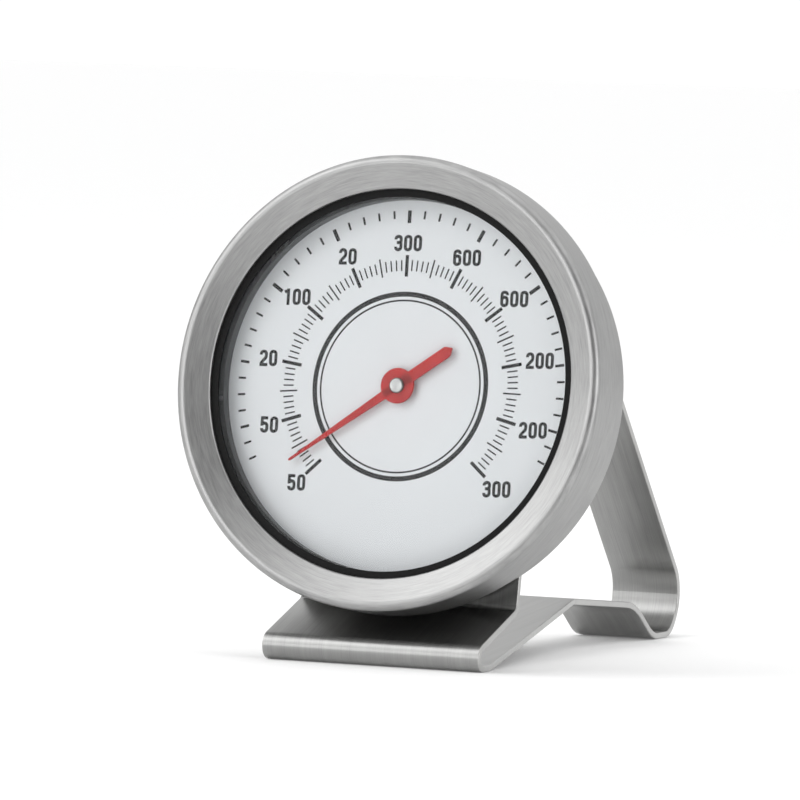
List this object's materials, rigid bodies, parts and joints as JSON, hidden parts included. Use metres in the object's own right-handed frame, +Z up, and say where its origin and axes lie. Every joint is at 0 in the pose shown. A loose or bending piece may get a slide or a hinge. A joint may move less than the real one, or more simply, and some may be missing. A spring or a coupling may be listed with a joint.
{
  "type": "oven thermometer",
  "caption": "Round dial oven thermometer: glazed steel case with a red pointer driven by a bimetal coil, riveted to a bent steel strip stand with a rear hook.",
  "frame": {"origin": "on the table, under the middle of the part's outline", "axes": "+Z up, the dial faces -Y, +X to the reader's right"},
  "size_m": [0.064, 0.105, 0.0711],
  "materials": {
    "brushed_steel": "circumferentially brushed stainless steel",
    "case_steel": "satin stainless sheet",
    "stand_steel": "stainless strip brushed along its length",
    "rivet_steel": "bright stainless fasteners",
    "glass": "clear flat glass",
    "black_rubber": "matt black rubber",
    "dark_spacer": "satin dark grey paint",
    "dial_white": "satin white enamel with black print",
    "pointer_red": "red enamel",
    "cap_silver": "polished",
    "shaft_steel": "ground steel",
    "brass": "turned brass",
    "bimetal": "rolled bimetal strip"
  },
  "bodies": {
    "case": {"bezel": "brushed_steel", "lens": "glass", "lens_gasket": "black_rubber", "spacer_ring": "dark_spacer", "dial_plate": "dial_white", "dial_posts": "rivet_steel", "rear_case": "case_steel", "bimetal_coil": "bimetal", "coil_post": "brass", "coil_pin": "shaft_steel", "bridge": "brass", "bridge_pillars": "brass", "bridge_screws": "rivet_steel", "front_bush": "brass", "rear_bush": "brass", "stand": "stand_steel", "stand_rivets": "rivet_steel", "rivet_washers": "rivet_steel"},
    "pointer_shaft": {"pointer": "pointer_red", "pointer_cap": "cap_silver", "arbor": "shaft_steel", "arbor_clip": "shaft_steel", "coil_collet": "brass"}
  },
  "joints": [
    {"name": "pointer_turn", "type": "hinge", "parent": "case", "child": "pointer_shaft", "pos_m": [0, -0.04299, 0.0388], "axis": [0, 0.9912, -0.1323], "range_deg": [-4.7, 261.1], "stiffness_Nm_per_rad": 0.0002}
  ]
}
